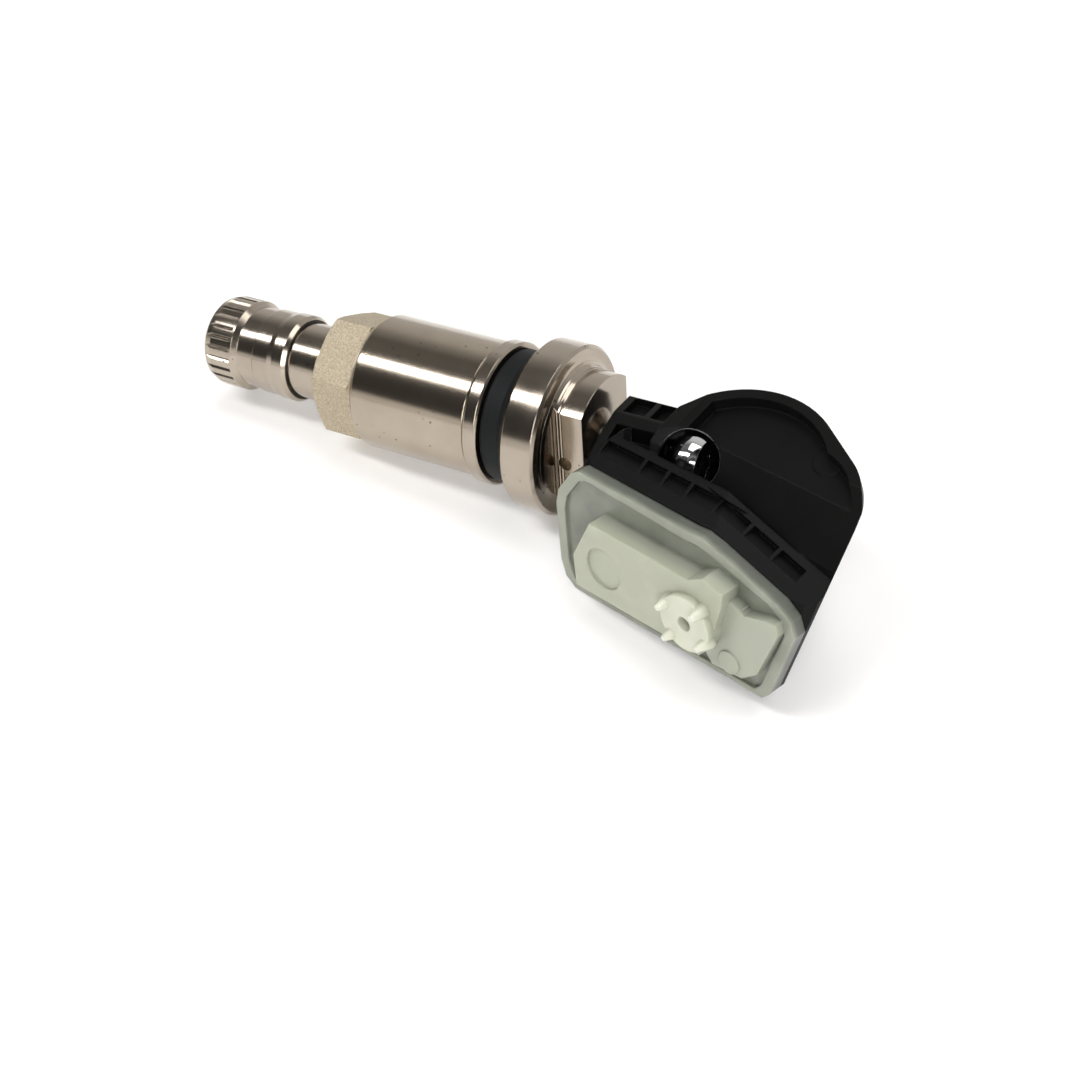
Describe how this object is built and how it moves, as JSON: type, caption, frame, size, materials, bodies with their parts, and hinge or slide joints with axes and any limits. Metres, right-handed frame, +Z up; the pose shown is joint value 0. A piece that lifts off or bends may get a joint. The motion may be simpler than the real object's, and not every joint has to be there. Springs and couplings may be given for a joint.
{
  "type": "tyre pressure sensor",
  "caption": "Clamp-in metal tyre valve with collar nut and knurled cap, joined by a ball-headed screw to a black plastic sensor housing with a milky cover and pressure tower.",
  "frame": {"origin": "on the valve axis, in the plane where the rubber grommet meets the rim washer, which is the rim's seat", "axes": "+X along the valve axis from the cap towards the sensor housing, +Z up as it lies on a table, -Y towards the housing's cover"},
  "size_m": [0.0797, 0.0286, 0.0215],
  "materials": {
    "nickel": "nickel plated, smooth with fine pits",
    "nickel_grainy": "nickel plated, blasted on the hexagon",
    "grommet_rubber": "matt",
    "seal_rubber": "matt",
    "core_brass": "turned",
    "core_red": "matt",
    "spring_steel": "bright",
    "screw_chrome": "bright",
    "housing_black": "satin, glass filled",
    "cover_milky": "milky, lets light through",
    "board_green": "lacquered",
    "cell_steel": "satin",
    "tab_nickel": "satin",
    "chip_black": "matt",
    "silicone_grey": "matt",
    "filter_white": "matt",
    "ferrite": "matt",
    "crystal_can": "bright",
    "copper_plated": "bright",
    "ceramic_tan": "matt"
  },
  "bodies": {
    "valve": {"valve_stem": "nickel", "rim_grommet": "grommet_rubber", "core_barrel": "core_brass", "core_gasket": "core_red", "core_spring": "spring_steel", "mounting_screw": "screw_chrome"},
    "washer": {"rim_washer": "nickel"},
    "nut": {"collar_nut": "nickel_grainy"},
    "seal": {"cap_seal": "seal_rubber"},
    "cap": {"valve_cap": "nickel"},
    "pin": {"core_pin": "core_brass", "core_cup": "seal_rubber"},
    "housing": {"sensor_housing": "housing_black", "sensor_cover": "cover_milky", "circuit_board": "board_green", "battery_cell": "cell_steel", "battery_tab_front": "tab_nickel", "battery_tab_rear": "tab_nickel", "pressure_chip": "chip_black", "port_seal": "silicone_grey", "port_filter": "filter_white", "wake_coil": "ferrite", "crystal": "crystal_can", "antenna": "copper_plated", "board_capacitors": "ceramic_tan"}
  },
  "joints": [
    {"name": "housing_swing", "type": "hinge", "parent": "valve", "child": "housing", "pos_m": [0.0204, 0, 0], "axis": [0, 0, 1], "range_deg": [-10, 10]},
    {"name": "nut_travel", "type": "slide", "parent": "valve", "child": "washer", "axis": [-1, 0, 0], "range_m": [0, 0.0045]},
    {"name": "nut_turn", "type": "hinge", "parent": "washer", "child": "nut", "pos_m": [-0.01, 0, 0], "axis": [-1, 0, 0], "range_deg": [0, 1621]},
    {"name": "cap_travel", "type": "slide", "parent": "valve", "child": "seal", "axis": [-1, 0, 0], "range_m": [0, 0.0099]},
    {"name": "cap_turn", "type": "hinge", "parent": "seal", "child": "cap", "pos_m": [-0.03, 0, 0], "axis": [-1, 0, 0], "range_deg": [0, 4500]},
    {"name": "core_press", "type": "slide", "parent": "valve", "child": "pin", "axis": [1, 0, 0], "range_m": [0, 0.0013], "stiffness_N_per_m": 400, "springref_m": -0.002, "deforming": ["core_spring"]}
  ],
  "couplings": [
    {"joint": "nut_turn", "follows": "nut_travel", "rad_per_m": 6283.2},
    {"joint": "cap_turn", "follows": "cap_travel", "rad_per_m": 7913.3}
  ]
}
